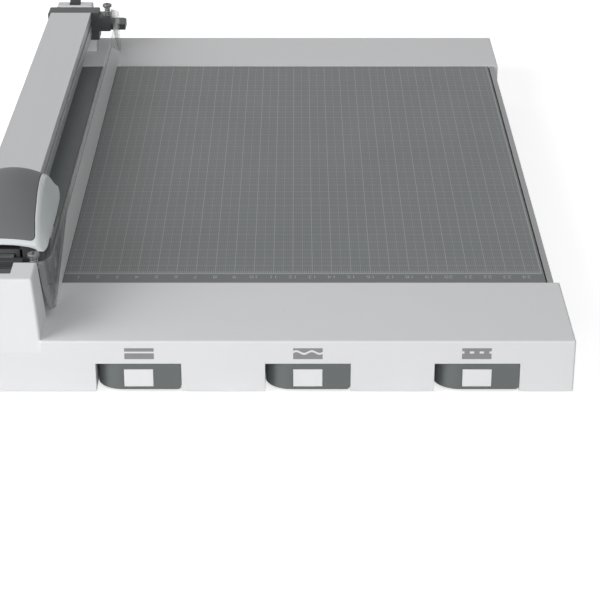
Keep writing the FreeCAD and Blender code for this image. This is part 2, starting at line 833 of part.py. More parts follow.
def make_guard_screws():
    screws = []
    under_head = flange_top + guard_spring_height
    for screw_y in (guard_screw_y, guard_screw_far_y()):
        shank = upright_at(guard_screw_x, screw_y, arm_top - guard_screw_grip, under_head,
                           guard_screw_radius)
        head = upright_at(guard_screw_x, screw_y, under_head, under_head + guard_screw_head,
                          guard_screw_head_radius)
        head = head.makeFillet(guard_screw_edge_radius,
                               level_edges(head, cap_top + under_head + guard_screw_head, lambda place: True))
        drive = block_at(guard_screw_x - drive_width / 2, guard_screw_x + drive_width / 2,
                         screw_y - drive_length / 2, screw_y + drive_length / 2,
                         under_head + guard_screw_head - drive_depth, under_head + guard_screw_head + 1)
        screws.append(head.fuse(shank).cut(drive))
    return Part.makeCompound(screws)


def make_guard_spring(screw_y):
    return coil_spring(cut_x + guard_screw_x, near_y + screw_y, cap_top + flange_top,
                       cap_top + flange_top + guard_spring_height, guard_spring_radius,
                       guard_spring_wire, guard_spring_turns)


# Cutting head: the frame runs on the rail, the cover is a smooth humped shell

def make_carriage_frame():
    near = head_near + frame_inset
    far = head_far - frame_inset
    left = rail_left - head_gap - frame_wall
    right = rail_right + head_gap + frame_wall
    plate = block_at(left, right, near, far, rail_top + frame_plate_gap, frame_top)
    walls = []
    for wall_x in (left, right - frame_wall):
        walls.append(block_at(wall_x, wall_x + frame_wall, near, far, frame_top - frame_drop, frame_top))
    frame = joined(plate, *walls)
    for x, y in cover_screw_places():
        frame = frame.cut(upright_at(x, y, rail_top, frame_top + 1, cover_screw_radius))
    return frame


def make_carriage_glides():
    pads = []
    near = head_near + frame_inset + glide_inset
    far = head_far - frame_inset - glide_inset - glide_length
    low = rail_groove_bottom + glide_gap
    high = rail_groove_bottom + rail_groove_height - glide_gap
    middle = (rail_left + rail_right) / 2
    for y in (near, far):
        pads.append(block_at(rail_left - head_gap, rail_left + rail_groove_depth - glide_gap,
                             y, y + glide_length, low, high))
        pads.append(block_at(rail_right - rail_groove_depth + glide_gap, rail_right + head_gap,
                             y, y + glide_length, low, high))
        pads.append(block_at(middle - top_glide_width / 2, middle + top_glide_width / 2,
                             y, y + glide_length, rail_top + glide_gap / 2,
                             rail_top + frame_plate_gap))
    return Part.makeCompound(pads)


def cover_section(y, bottom_half, top_half, shoulder, crown, inset):
    """One slice across the cover: level bottom, leaning sides, rounded shoulders, domed top."""
    middle = cut_x + head_middle
    along = near_y + y
    bottom_half -= inset
    top_half -= inset
    shoulder -= 0.8 * inset
    crown -= inset
    bottom = head_rim - (head_rim_cut if inset else 0)

    def place(across, height):
        return Vector(middle + across, along, cap_top + height)

    turn = head_turn
    slope = (bottom_half - top_half) / (shoulder - bottom)
    edges = []
    right_low = place(bottom_half, bottom)
    right_high = place(top_half + slope * turn, shoulder - turn)
    right_turn = place(top_half - 0.22 * turn, shoulder - 0.16 * turn)
    right_top = place(top_half - turn, shoulder + 0.22 * turn)
    left_low = place(-bottom_half, bottom)
    left_high = place(-top_half - slope * turn, shoulder - turn)
    left_turn = place(-top_half + 0.22 * turn, shoulder - 0.16 * turn)
    left_top = place(-top_half + turn, shoulder + 0.22 * turn)
    edges.append(Part.makeLine(left_low, right_low))
    edges.append(Part.makeLine(right_low, right_high))
    edges.append(Part.Arc(right_high, right_turn, right_top).toShape())
    edges.append(Part.Arc(right_top, place(0, crown), left_top).toShape())
    edges.append(Part.Arc(left_top, left_turn, left_high).toShape())
    edges.append(Part.makeLine(left_high, left_low))
    return Part.Wire(edges)


def cover_solid(inset):
    """The humped outer form, or the room inside it when inset is the wall's thickness."""
    half = (head_right - head_left) / 2
    rise = head_crown - head_rim
    # shares: along the head, drawn in at the rim and the shoulder, shoulder and crown height
    slices = [
        (0.000, 0.052, 0.147, 0.119, 0.192),
        (0.048, 0.004, 0.160, 0.251, 0.356),
        (0.167, 0.000, 0.195, 0.470, 0.607),
        (0.321, 0.000, 0.225, 0.667, 0.836),
        (0.524, 0.000, 0.251, 0.804, 1.000),
        (0.714, 0.017, 0.268, 0.726, 0.922),
        (0.881, 0.061, 0.286, 0.466, 0.621),
        (1.000, 0.147, 0.329, 0.128, 0.210),
    ]
    wires = []
    for along, rim_in, shoulder_in, shoulder, crown in slices:
        y = min(max(along * head_length, inset), head_length - inset)
        wires.append(cover_section(head_near + y, half * (1 - rim_in), half * (1 - shoulder_in),
                                   head_rim + rise * shoulder, head_rim + rise * crown, inset))
    return Part.makeLoft(wires, True, False)


def pad_prism(clearance):
    low = cap_top + head_rim
    points = []
    for along, half in ((0.0, pad_half_near), (0.193, 1.025 * pad_half_middle),
                        (0.453, 0.975 * pad_half_middle), (1.0, pad_half_far)):
        y = min(max(along * pad_length, clearance), pad_length - clearance)
        points.append((head_near + pad_inset + y, half - clearance))
    middle = cut_x + head_middle
    right = [Vector(middle + half, near_y + y, low) for y, half in points]
    left = [Vector(middle - half, near_y + y, low) for y, half in reversed(points)]
    prism = extruded(right + left, Vector(0, 0, head_crown))
    ends = (right[0].y, right[-1].y)
    corners = vertical_edges(prism, lambda place: min(abs(place.y - end) for end in ends) < 1e-3)
    return prism.makeFillet(pad_corner_radius, corners)


def cover_screw_places():
    return [(cover_screw_left, head_near + cover_screw_first),
            (cover_screw_left, head_far - cover_screw_last),
            (cover_screw_right, head_far - cover_screw_side)]


def make_carriage_shell():
    outside = cover_solid(0)
    shell = outside.cut(cover_solid(head_wall))
    shell = shell.cut(pad_prism(0))
    arch = Part.makeCylinder(1, 3 * head_wall, Vector(0, 0, 0), Vector(0, 1, 0))
    stretch = FreeCAD.Matrix()
    stretch.scale(arch_half_width, 1, arch_rise)
    arch = arch.transformGeometry(stretch)
    arch.translate(Vector(cut_x + head_middle, near_y + head_near - head_wall, cap_top + head_rim))
    shell = shell.cut(arch)
    ledges = []
    room = cover_solid(head_wall / 2)
    for x, y in cover_screw_places():
        at_left = x < head_middle
        x0 = head_left if at_left else x - cover_ledge_reach
        x1 = x + cover_ledge_reach if at_left else head_right
        ledge = block_at(x0, x1, y - cover_ledge_half, y + cover_ledge_half,
                         head_rim - head_rim_cut, head_rim + cover_ledge)
        ledges.append(ledge.common(room))
    shell = joined(shell, *ledges)
    for x, y in cover_screw_places():
        shell = shell.cut(upright_at(x, y, frame_top, frame_top + cover_hole_depth, cover_screw_radius))
    return shell


def make_shell_screws():
    screws = []
    head_low = head_rim + cover_ledge
    for x, y in cover_screw_places():
        shank = upright_at(x, y, rail_top + frame_plate_gap + glide_gap, head_low, cover_screw_radius)
        head = upright_at(x, y, head_low, head_low + cover_screw_head, cover_screw_head_radius)
        screws.append(shank.fuse(head))
    return Part.makeCompound(screws)


def make_grip_pad():
    outside = cover_solid(0)
    below = cover_solid(0)
    below.translate(Vector(0, 0, -pad_thickness))
    return outside.common(pad_prism(pad_gap)).cut(below)


def make_press_holder():
    near = head_cutter_y - cartridge_width / 2 - holder_arm_gap - holder_arm
    far = head_cutter_y + cartridge_width / 2 + holder_arm_gap + holder_arm
    low = head_face + holder_face_gap
    plate = block_at(holder_left, holder_right, near, far, low, low + holder_plate)
    arm_low = head_face - cartridge_depth + shoulder_depth + 1
    rib_x = blade_level - cartridge_thickness / 2
    rib_top = head_face - guide_start - 1
    reach = holder_arm_gap + guide_rib_depth
    arms = []
    for arm_near, rib_near in ((near, near + holder_arm), (far - holder_arm, far - holder_arm - reach)):
        arms.append(block_at(holder_left + 1, rib_x + holder_arm_half, arm_near, arm_near + holder_arm,
                             arm_low, low))
        arms.append(block_at(rib_x - guide_rib_height / 2, rib_x + guide_rib_height / 2,
                             rib_near, rib_near + reach, arm_low, rib_top))
    web_right = holder_left + bridge_web
    web = block_at(holder_left, web_right, bridge_near, far - bridge_inset, low, bridge_bottom + 1)
    bridge = block_at(bridge_left, web_right, bridge_near, bridge_far, bridge_bottom,
                      bridge_bottom + bridge_plate)
    # the tongue meets the cover's ledge when the holder is up, the spring pins the frame when down
    tongue = block_at(holder_left + 1, holder_right - 1, far - holder_arm, far + tongue_reach,
                      frame_top - holder_plate, frame_top)
    posts = []
    for y in (press_spring_near_y, press_spring_far_y):
        posts.append(upright_at(press_spring_x, y, frame_top + press_travel + spring_seat_gap,
                                bridge_bottom + 1, press_spring_radius - press_spring_wire))
    under_pad = cover_solid(0)
    under_pad.translate(Vector(0, 0, -pad_thickness))
    for x in (bridge_left + bridge_inset, holder_left + bridge_inset / 2):
        for y in (bridge_near + bridge_inset, bridge_far - bridge_inset):
            post = upright_at(x, y, bridge_bottom + 1, head_crown, bridge_post_radius)
            posts.append(post.common(under_pad))
    return joined(plate, *arms, web, tongue, bridge, *posts)


def make_press_spring(y):
    return coil_spring(cut_x + press_spring_x, near_y + y, cap_top + frame_top,
                       cap_top + bridge_bottom, press_spring_radius, press_spring_wire,
                       press_spring_turns)


# Cutter cartridges. Each is made where the first bay holds it, then moved: by whole bays
# for the others, and turned edge down for the one in the cutting head.

def cartridge_shoulder(side_x, inward, back, low, high):
    outer = side_x - inward
    inner = side_x + inward * shoulder_length
    outline = [Vector(side_x, back - shoulder_depth, low), Vector(inner, back, low),
               Vector(inner, back + 1, low), Vector(outer, back + 1, low),
               Vector(outer, back - shoulder_depth, low)]
    return extruded(outline, Vector(0, 0, high - low))


def cartridge_body():
    middle = bay_middles()[0]
    left = middle - cartridge_width / 2
    right = middle + cartridge_width / 2
    low = cartridge_bottom
    high = cartridge_bottom + cartridge_thickness
    back = near_y + cartridge_depth
    body = block(left, right, near_y, back, low, high)
    body = body.makeFillet(cartridge_edge_radius, [
        edge for edge in body.Edges
        if edge.BoundBox.YLength > cartridge_depth - 1 and edge.CenterOfMass.x > middle
        and edge.CenterOfMass.z < low + 1])
    corner = block(left - 1, left + finger_width, near_y - 1, near_y + finger_depth, low - 1, high + 1)
    ellipse = Part.makeCylinder(1, 2 * cartridge_thickness, Vector(0, 0, 0), Vector(0, 0, 1))
    stretch = FreeCAD.Matrix()
    stretch.scale(finger_width, finger_depth, 1)
    ellipse = ellipse.transformGeometry(stretch)
    ellipse.translate(Vector(left + finger_width, near_y + finger_depth, low - cartridge_thickness / 2))
    body = body.cut(corner.cut(ellipse))
    tab_low = low + tab_plate_low - tab_plate_gap
    tab_half = tab_plate_width / 2 + tab_plate_gap
    pocket = block(middle - tab_half, middle + tab_half, near_y - 1,
                   near_y + tab_plate_depth + tab_plate_gap, tab_low,
                   tab_low + tab_plate_height + 2 * tab_plate_gap)
    blade_y = near_y + blade_centre_depth
    blade_room = upright(middle, blade_y, low - 1, low + blade_pocket, blade_radius + blade_pocket_gap)
    axle_hole = upright(middle, blade_y, low, low + axle_length, axle_radius)
    guides = []
    guide_low = low + cartridge_thickness / 2 - guide_height / 2
    for side_x in (left, right - guide_depth):
        guides.append(block(side_x, side_x + guide_depth, near_y + guide_start, back + 1,
                            guide_low, guide_low + guide_height))
    shoulders = [cartridge_shoulder(left, 1, back, low - 1, high + 1),
                 cartridge_shoulder(right, -1, back, low - 1, high + 1)]
    return body.cut([pocket, blade_room, axle_hole] + guides + shoulders)


def cartridge_tab():
    middle = bay_middles()[0]
    low = cartridge_bottom + tab_plate_low
    tab = block(middle - tab_plate_width / 2, middle + tab_plate_width / 2, near_y,
                near_y + tab_plate_depth, low, low + tab_plate_height)
    front = [edge for edge in tab.Edges if abs(edge.BoundBox.YMax - near_y) < 1e-4]
    return tab.makeFillet(tab_plate_edge_radius, front)


def blade_axle():
    middle = bay_middles()[0]
    blade_y = near_y + blade_centre_depth
    head_top = cartridge_bottom + blade_level - blade_thickness / 2 - axle_gap
    head = upright(middle, blade_y, head_top - axle_head, head_top, axle_head_radius)
    shank = upright(middle, blade_y, head_top, cartridge_bottom + axle_length - axle_gap, axle_radius)
    return head.fuse(shank).removeSplitter()


def round_blade():
    middle = bay_middles()[0]
    blade_y = near_y + blade_centre_depth
    level = cartridge_bottom + blade_level
    disc = upright(middle, blade_y, level - blade_thickness / 2, level + blade_thickness / 2,
                   blade_radius)
    rim = [edge for edge in disc.Edges if edge.BoundBox.ZLength < 1e-4]
    disc = disc.makeChamfer(0.45 * blade_thickness, rim)
    return disc.cut(upright(middle, blade_y, level - 2, level + 2, axle_radius + blade_hole_gap))


def perforating_blade():
    blade = round_blade()
    middle = bay_middles()[0]
    blade_y = near_y + blade_centre_depth
    level = cartridge_bottom + blade_level
    gaps = []
    for count in range(tooth_count):
        gap = block(middle + blade_radius - tooth_depth, middle + blade_radius + 1,
                    blade_y - tooth_gap / 2, blade_y + tooth_gap / 2, level - 1, level + 1)
        gap.rotate(Vector(middle, blade_y, level), Vector(0, 0, 1), count * 360 / tooth_count)
        gaps.append(gap)
    return blade.cut(gaps)


def waving_blade():
    """A disc whose rim bends up and down by turns, each facet a ruled strip of even thickness."""
    middle = bay_middles()[0]
    blade_y = near_y + blade_centre_depth
    level = cartridge_bottom + blade_level
    flat_radius = 0.72 * blade_radius
    steps = 2 * wave_count
    points_low = []
    points_high = []
    for count in range(steps):
        angle = count * 2 * math.pi / steps
        lift = wave_height if count % 2 else -wave_height
        x = middle + blade_radius * math.cos(angle)
        y = blade_y + blade_radius * math.sin(angle)
        points_low.append(Vector(x, y, level + lift - blade_thickness / 2))
        points_high.append(Vector(x, y, level + lift + blade_thickness / 2))
    faces = []
    inner_low = []
    inner_high = []
    for count in range(steps):
        angle = count * 2 * math.pi / steps
        x = middle + flat_radius * math.cos(angle)
        y = blade_y + flat_radius * math.sin(angle)
        inner_low.append(Vector(x, y, level - blade_thickness / 2))
        inner_high.append(Vector(x, y, level + blade_thickness / 2))

    def triangle(a, b, c):
        faces.append(Part.Face(Part.makePolygon([a, b, c, a])))

    for count in range(steps):
        after = (count + 1) % steps
        triangle(inner_low[count], points_low[count], points_low[after])
        triangle(inner_low[count], points_low[after], inner_low[after])
        triangle(inner_high[count], points_high[after], points_high[count])
        triangle(inner_high[count], inner_high[after], points_high[after])
        triangle(points_low[count], points_high[count], points_high[after])
        triangle(points_low[count], points_high[after], points_low[after])
    faces.append(Part.Face(Part.makePolygon(inner_low + [inner_low[0]])))
    faces.append(Part.Face(Part.makePolygon(inner_high + [inner_high[0]])))
    shell = Part.makeShell(faces)
    shell.sewShape()
    solid = Part.makeSolid(shell)
    if solid.Volume < 0:
        solid.reverse()
    return solid.cut(upright(middle, blade_y, level - 2, level + 2, axle_radius + blade_hole_gap))


def in_bay(shape, number):
    moved = shape.copy()
    moved.translate(Vector(number * bay_pitch, 0, 0))
    return moved


def in_head(shape):
    """Turned so that its face looks up and its blade down, on the cutting line."""
    moved = shape.copy()
    middle = bay_middles()[0]
    moved.translate(Vector(-middle, -near_y, -cartridge_bottom - blade_level))
    moved.transformShape(FreeCAD.Matrix(0, 0, -1, 0, 1, 0, 0, 0, 0, -1, 0, 0, 0, 0, 0, 1))
    moved.translate(Vector(cut_x, near_y + head_cutter_y, cap_top + head_face))
    return moved


# Write every piece

save(make_base_tray(), "base_tray")
save(make_feet(), "rubber_feet")
save(make_tray_screws(), "tray_screws")
save(make_deck_plate(), "deck_plate")
save(make_cutting_strip(), "cutting_strip")
save(make_storage_cap(), "storage_end_cap")
save(make_lift_cap(), "lift_end_cap")
save(make_hinge_pin(), "hinge_pin")
save(make_hinge_plug(), "hinge_plug")
save(make_rail(), "rail")
save(make_rail_knuckle(), "rail_knuckle")
save(make_rail_lift_end(), "rail_lift_end")
save(make_rail_end_screws(), "rail_end_screws")
save(make_rail_lock(), "rail_lock")
save(make_guard_strip(), "guard_strip")
save(make_guard_screws(), "guard_screws")
save(make_guard_spring(guard_screw_y), "guard_spring_near")
save(make_guard_spring(guard_screw_far_y()), "guard_spring_far")
save(make_carriage_frame(), "carriage_frame")
save(make_carriage_glides(), "carriage_glides")
save(make_carriage_shell(), "carriage_shell")
save(make_shell_screws(), "shell_screws")
save(make_grip_pad(), "grip_pad")
save(make_press_holder(), "press_holder")
save(make_press_spring(press_spring_near_y), "press_spring_near")
save(make_press_spring(press_spring_far_y), "press_spring_far")

cutters = {"straight": round_blade(), "wave": waving_blade(), "perforation": perforating_blade()}
for number, (style, blade) in enumerate(cutters.items()):
    save(in_bay(cartridge_body(), number), style + "_cartridge_body")
    save(in_bay(cartridge_tab(), number), style + "_cartridge_tab")
    save(in_bay(blade_axle(), number), style + "_blade_axle")
    save(in_bay(blade, number), style + "_blade")
save(in_head(cartridge_body()), "head_cartridge_body")
save(in_head(cartridge_tab()), "head_cartridge_tab")
save(in_head(blade_axle()), "head_blade_axle")
save(in_head(round_blade()), "head_blade")
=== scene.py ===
import math
from functools import partial

import bmesh
import bpy
from mathutils import Matrix, Vector


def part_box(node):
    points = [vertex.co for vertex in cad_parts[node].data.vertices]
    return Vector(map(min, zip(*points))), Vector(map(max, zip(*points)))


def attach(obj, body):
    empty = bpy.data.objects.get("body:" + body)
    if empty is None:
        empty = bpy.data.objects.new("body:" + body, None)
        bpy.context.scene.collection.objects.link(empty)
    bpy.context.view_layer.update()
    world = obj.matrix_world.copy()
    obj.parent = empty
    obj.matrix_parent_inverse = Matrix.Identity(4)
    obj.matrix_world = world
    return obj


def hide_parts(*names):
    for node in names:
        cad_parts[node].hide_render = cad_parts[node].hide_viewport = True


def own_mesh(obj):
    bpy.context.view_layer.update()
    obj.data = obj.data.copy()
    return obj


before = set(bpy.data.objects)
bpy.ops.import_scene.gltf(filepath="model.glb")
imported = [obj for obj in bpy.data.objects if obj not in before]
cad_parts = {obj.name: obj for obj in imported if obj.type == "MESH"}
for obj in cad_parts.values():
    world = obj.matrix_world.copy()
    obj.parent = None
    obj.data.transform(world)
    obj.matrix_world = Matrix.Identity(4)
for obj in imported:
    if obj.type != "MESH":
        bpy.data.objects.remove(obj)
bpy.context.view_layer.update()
scene = bpy.context.scene

# The camera stands off the storage end, a little right of the middle, and looks down the
# deck, where the photograph of the trimmer was taken from.
camera_data = bpy.data.cameras.new("camera")
camera_data.sensor_width = 36
camera_data.lens = 116.8
camera_data.shift_x = 0.005
camera_data.clip_start = 0.02
camera = bpy.data.objects.new("camera", camera_data)
camera.location = (0.0206, -1.0642, 0.4505)
camera.rotation_euler = (math.radians(64.3), 0, 0)
scene.collection.objects.link(camera)
scene.camera = camera
scene.view_settings.view_transform = "Standard"

# Studio: a white room, a strong soft box before the trimmer at its left and a weaker one
# before its middle, over a pale floor that shows white to the camera and keeps the shadow.
room_light = 0.25
floor_colour = (0.86, 0.86, 0.86, 1)
floor_half_width = 6
near_glow, far_glow = 0.66, 0.82
near_reach, far_reach = 0.8, 3.0


def add(tree, kind, **settings):
    node = tree.nodes.new(kind)
    for name, value in settings.items():
        setattr(node, name, value)
    return node


def feed(tree, socket, value):
    """Links a socket to another node's result, or sets it to a plain value."""
    if isinstance(value, bpy.types.NodeSocket):
        tree.links.new(value, socket)
    else:
        socket.default_value = value


def calculate(tree, operation, first, second=0.0):
    node = add(tree, "ShaderNodeMath", operation=operation)
    feed(tree, node.inputs[0], first)
    feed(tree, node.inputs[1], second)
    return node.outputs[0]


def spread(tree, value, source, target, fade="LINEAR"):
    """Carries a value from the source's range to the target's, and holds it at its ends."""
    node = add(tree, "ShaderNodeMapRange", interpolation_type=fade)
    feed(tree, node.inputs["Value"], value)
    for name, limit in zip(("From Min", "From Max", "To Min", "To Max"), source + target):
        feed(tree, node.inputs[name], limit)
    return node.outputs[0]


def looked_at(tree):
    """True for the camera, and for what metal, gloss and clear plastic show of the room."""
    seen = add(tree, "ShaderNodeLightPath").outputs
    shown = calculate(tree, "MAXIMUM", seen["Is Camera Ray"], seen["Is Glossy Ray"])
    return calculate(tree, "MAXIMUM", shown, seen["Is Transmission Ray"])


world = bpy.data.worlds.new("white_room")
world.use_nodes = True
scene.world = world
tree = world.node_tree
room = tree.nodes["Background"].inputs
room["Color"].default_value = (1, 1, 1, 1)
feed(tree, room["Strength"], spread(tree, looked_at(tree), (0, 1), (room_light, 1)))


def soft_box(name, place, size, watts):
    lamp = bpy.data.lights.new(name, "AREA")
    lamp.shape = "SQUARE"
    lamp.size = size
    lamp.energy = watts
    box = bpy.data.objects.new(name, lamp)
    box.location = place
    box.rotation_euler = (-Vector(place)).to_track_quat("-Z", "Y").to_euler()
    scene.collection.objects.link(box)


soft_box("key_light", place=(-1.5, -0.9, 0.85), size=1.3, watts=26)
soft_box("front_light", place=(0.2, -1.9, 0.95), size=1.2, watts=12)

floor_mesh = bpy.data.meshes.new("floor")
floor = bpy.data.objects.new("floor", floor_mesh)
scene.collection.objects.link(floor)
plane = bmesh.new()
bmesh.ops.create_grid(plane, x_segments=1, y_segments=1, size=floor_half_width)
plane.to_mesh(floor_mesh)
plane.free()

floor_material = bpy.data.materials.new("pale_floor")
floor_material.use_nodes = True
tree = floor_material.node_tree
tree.nodes.clear()
paper_white = add(tree, "ShaderNodeBsdfDiffuse")
paper_white.inputs["Color"].default_value = floor_colour
# the floor glows more where the lamps hardly reach it, so that it meets the white room
place = add(tree, "ShaderNodeTexCoord")
reach = add(tree, "ShaderNodeVectorMath", operation="LENGTH")
feed(tree, reach.inputs[0], place.outputs["Object"])
fill = spread(tree, reach.outputs["Value"], (near_reach, far_reach), (near_glow, far_glow))
glow = add(tree, "ShaderNodeEmission")
feed(tree, glow.inputs["Strength"], calculate(tree, "MULTIPLY", looked_at(tree), fill))
both = add(tree, "ShaderNodeAddShader")
feed(tree, both.inputs[0], paper_white.outputs[0])
feed(tree, both.inputs[1], glow.outputs[0])
out = add(tree, "ShaderNodeOutputMaterial")
feed(tree, out.inputs["Surface"], both.outputs[0])
floor_mesh.materials.append(floor_material)

# Base tray: one large injection moulding in mid grey ABS with a finely sparked surface. Its
# rims show beside the deck, its floor carries the feet and the six screws of the end caps.
tray_colour = (0.335, 0.34, 0.34)
brightest = 0.95
noise_range = (0.3, 0.7)
sharp_to_worn = (0.998, 0.88)


def mix_colours(tree, factor, first, second):
    mix = add(tree, "ShaderNodeMix", data_type="RGBA")
    feed(tree, mix.inputs[0], factor)
    feed(tree, mix.inputs[6], first)
    feed(tree, mix.inputs[7], second)
    return mix.outputs[2]


def toned(colour, factor):
    """The colour made darker or paler by a factor, as a shader's colour with its alpha."""
    return [min(channel * factor, brightest) for channel in colour] + [1]


def new_group(title, inputs, outputs):
    """A node group with these sockets. All are plain values except a normal."""
    group = bpy.data.node_groups.new(title, "ShaderNodeTree")
    for names, side in ((inputs, "INPUT"), (outputs, "OUTPUT")):
        for name in names:
            kind = "NodeSocketVector" if name == "Normal" else "NodeSocketFloat"
            group.interface.new_socket(name, in_out=side, socket_type=kind)
    given = group.nodes.new("NodeGroupInput").outputs
    result = group.nodes.new("NodeGroupOutput").inputs
    return group, given, result


def surface_group():
    """Moulded skin: rounded edges, a fine grain, broad handling marks and a mask of worn edges."""
    inputs = ("Edge Radius", "Grain Scale", "Grain Height")
    outputs = ("Normal", "Grain", "Marks", "Worn Edge")
    group, given, result = new_group("moulded_skin", inputs, outputs)
    place = add(group, "ShaderNodeTexCoord").outputs["Object"]
    rounded = add(group, "ShaderNodeBevel", samples=4)
    feed(group, rounded.inputs["Radius"], given["Edge Radius"])
    grain = add(group, "ShaderNodeTexNoise")
    for name, value in (("Vector", place), ("Scale", given["Grain Scale"]), ("Detail", 3)):
        feed(group, grain.inputs[name], value)
    bump = add(group, "ShaderNodeBump")
    for name, value in (("Distance", 0.0001), ("Strength", given["Grain Height"]),
                        ("Height", grain.outputs[0]), ("Normal", rounded.outputs[0])):
        feed(group, bump.inputs[name], value)
    marks = add(group, "ShaderNodeTexNoise")
    for name, value in (("Vector", place), ("Scale", 26), ("Detail", 5), ("Roughness", 0.6)):
        feed(group, marks.inputs[name], value)
    true_shape = add(group, "ShaderNodeNewGeometry")
    turned = add(group, "ShaderNodeVectorMath", operation="DOT_PRODUCT")
    feed(group, turned.inputs[0], rounded.outputs[0])
    feed(group, turned.inputs[1], true_shape.outputs["Normal"])
    worn = spread(group, turned.outputs["Value"], sharp_to_worn, (0, 1))
    feed(group, result["Normal"], bump.outputs[0])
    feed(group, result["Grain"], grain.outputs[0])
    feed(group, result["Marks"], marks.outputs[0])
    feed(group, result["Worn Edge"], calculate(group, "MULTIPLY", worn, marks.outputs[0]))
    return group


moulded_skin = surface_group()


def skin_of(tree, edge, grain, height):
    skin = add(tree, "ShaderNodeGroup", node_tree=moulded_skin)
    for name, value in (("Edge Radius", edge), ("Grain Scale", grain), ("Grain Height", height)):
        skin.inputs[name].default_value = value
    return skin.outputs


def new_material(name):
    material = bpy.data.materials.new(name)
    material.use_nodes = True
    tree = material.node_tree
    return material, tree, tree.nodes["Principled BSDF"].inputs


def moulded(name, colour, roughness, edge=0.0004, grain=2200.0, height=0.3, wear=1.12, marks=0.05):
    """A moulded plastic or rubber: its colour drifts a little, and its edges are rubbed paler."""
    material, tree, surface = new_material(name)
    skin = skin_of(tree, edge, grain, height)
    body = mix_colours(tree, skin["Marks"], toned(colour, 1 - marks), toned(colour, 1 + marks))
    feed(tree, surface["Base Color"], mix_colours(tree, skin["Worn Edge"], body, toned(colour, wear)))
    gloss = spread(tree, skin["Marks"], noise_range, (roughness - marks, roughness + marks))
    feed(tree, surface["Roughness"], gloss)
    feed(tree, surface["Normal"], skin["Normal"])
    return material


def dress(material, *names):
    for name in names:
        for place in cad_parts[name].material_slots:
            place.material = material


dress(moulded("tray_plastic", tray_colour, 0.45), "base_tray")

# Rubber feet: six black pads, glued into the tray's floor, that keep the trimmer from
# slipping. They are matt, soft-edged and a little dusty.
foot_rubber = moulded("foot_rubber", (0.035, 0.035, 0.036), 0.85, edge=0.0006, grain=1400, height=0.6)
dress(foot_rubber, "rubber_feet")

# Pan-head screws, zinc plated: six in the tray's floor and two under the rail. The same
# bright plating is on the guard's shoulder screws and the cover's small screws.
dull_spots, bright_spots = 0.8, 1.1
smoother, rougher = 0.08, 0.12


def plated(name, colour, roughness, grain=900.0, height=0.12):
    material, tree, surface = new_material(name)
    surface["Metallic"].default_value = 1
    skin = skin_of(tree, edge=0.00025, grain=grain, height=height)
    shade = mix_colours(tree, skin["Marks"], toned(colour, dull_spots), toned(colour, bright_spots))
    feed(tree, surface["Base Color"], shade)
    gloss = spread(tree, skin["Grain"], (0, 1), (roughness - smoother, roughness + rougher))
    feed(tree, surface["Roughness"], gloss)
    feed(tree, surface["Normal"], skin["Normal"])
    return material


zinc_plate = plated("zinc_plate", (0.20, 0.204, 0.208), 0.55)
dress(zinc_plate, "tray_screws", "rail_end_screws", "guard_screws", "shell_screws")

# Deck: a dark grey plate of high-pressure plastic, screen printed in pale grey with a 5 mm
# grid. The grid starts at a thicker line, and the numerals stand in the band before it.
deck_colour = (0.126, 0.138, 0.138)
ink_colour = (0.52, 0.54, 0.54, 1)
ink_cover = 0.52
grid_pitch = 0.005
half_blade = 0.00015
number_band = 0.0118
grid_width = 0.248
grid_margin = 0.0028
tick_length = 0.003
hair_line = 0.00006
tick_line = 0.00017
fine_line = 0.00015
strong_line = 0.0002
side_line = 0.0003
start_line = 0.0006
hair_ink, fine_ink, strong_ink = 0.45, 0.55, 0.75
cut_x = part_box("head_blade")[0].x + half_blade
grid_start_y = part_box("deck_plate")[0].y + number_band
grid_right = cut_x + grid_width


def object_place(tree):
    split = add(tree, "ShaderNodeSeparateXYZ")
    feed(tree, split.inputs[0], add(tree, "ShaderNodeTexCoord").outputs["Object"])
    return split.outputs


def printed_grid():
    """The ink of the grid: a hair line per millimetre, a fine one per 5 and a strong one per 10."""
    group, given, result = new_group("printed_grid", ("Zero X", "Start Y", "Right X"), ("Ink",))
    point = object_place(group)
    math_node = partial(calculate, group)

    def line(distance, half_width):
        return spread(group, distance, (half_width * 0.8, half_width * 1.3), (1, 0), "SMOOTHSTEP")

    across = math_node("SUBTRACT", point["X"], given["Zero X"])
    along = math_node("SUBTRACT", point["Y"], given["Start Y"])
    lines = []
    for value in (across, along):
        hair = line(math_node("PINGPONG", value, grid_pitch / 10), hair_line)
        fine = line(math_node("PINGPONG", value, grid_pitch / 2), fine_line)
        strong = line(math_node("PINGPONG", value, grid_pitch), strong_line)
        hair = math_node("MULTIPLY", hair, hair_ink)
        weak = math_node("MAXIMUM", hair, math_node("MULTIPLY", fine, fine_ink))
        lines.append(math_node("MAXIMUM", weak, math_node("MULTIPLY", strong, strong_ink)))
    grid = math_node("MAXIMUM", lines[0], lines[1])
    ticks = line(math_node("PINGPONG", across, grid_pitch / 10), tick_line)
    ticks = math_node("MULTIPLY", ticks, math_node("LESS_THAN", along, tick_length))
    grid = math_node("MAXIMUM", grid, ticks)
    past_margin = math_node("GREATER_THAN", across, grid_margin)
    before_right = math_node("LESS_THAN", point["X"], given["Right X"])
    inside = math_node("MULTIPLY", past_margin, before_right)
    past_start = math_node("GREATER_THAN", along, 0.0)
    grid = math_node("MULTIPLY", grid, math_node("MULTIPLY", inside, past_start))
    first_line = line(math_node("ABSOLUTE", along), start_line)
    first_line = math_node("MULTIPLY", first_line, inside)
    to_right = math_node("SUBTRACT", point["X"], given["Right X"])
    last_line = line(math_node("ABSOLUTE", to_right), side_line)
    last_line = math_node("MULTIPLY", last_line, past_start)
    borders = math_node("MAXIMUM", first_line, last_line)
    feed(group, result["Ink"], math_node("MAXIMUM", grid, borders))
    return group


